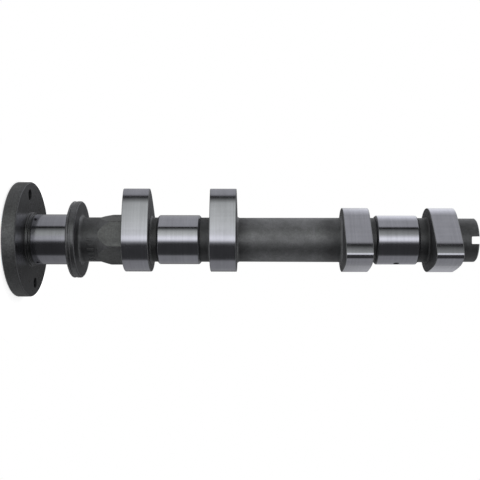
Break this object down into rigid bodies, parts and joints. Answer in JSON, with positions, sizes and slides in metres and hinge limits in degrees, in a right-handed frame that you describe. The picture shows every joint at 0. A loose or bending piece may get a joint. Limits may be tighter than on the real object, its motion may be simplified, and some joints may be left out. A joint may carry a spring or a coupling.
{
  "type": "camshaft",
  "caption": "One-piece cast camshaft with ground lobes and journals, a drilled drive flange, a thrust collar, a spanner hexagon and a slotted end.",
  "frame": {"origin": "centre of the drive flange's mounting face", "axes": "+Z along the shaft towards the slotted end, -X along the noses of the two lobes next to the flange, -Y along the noses of the two lobes next to the slotted end"},
  "size_m": [0.056, 0.056, 0.223],
  "materials": {
    "cast_iron": "as cast and dark, with bright ground lobes and journals"
  },
  "bodies": {
    "root": {"camshaft": "cast_iron"}
  },
  "joints": []
}
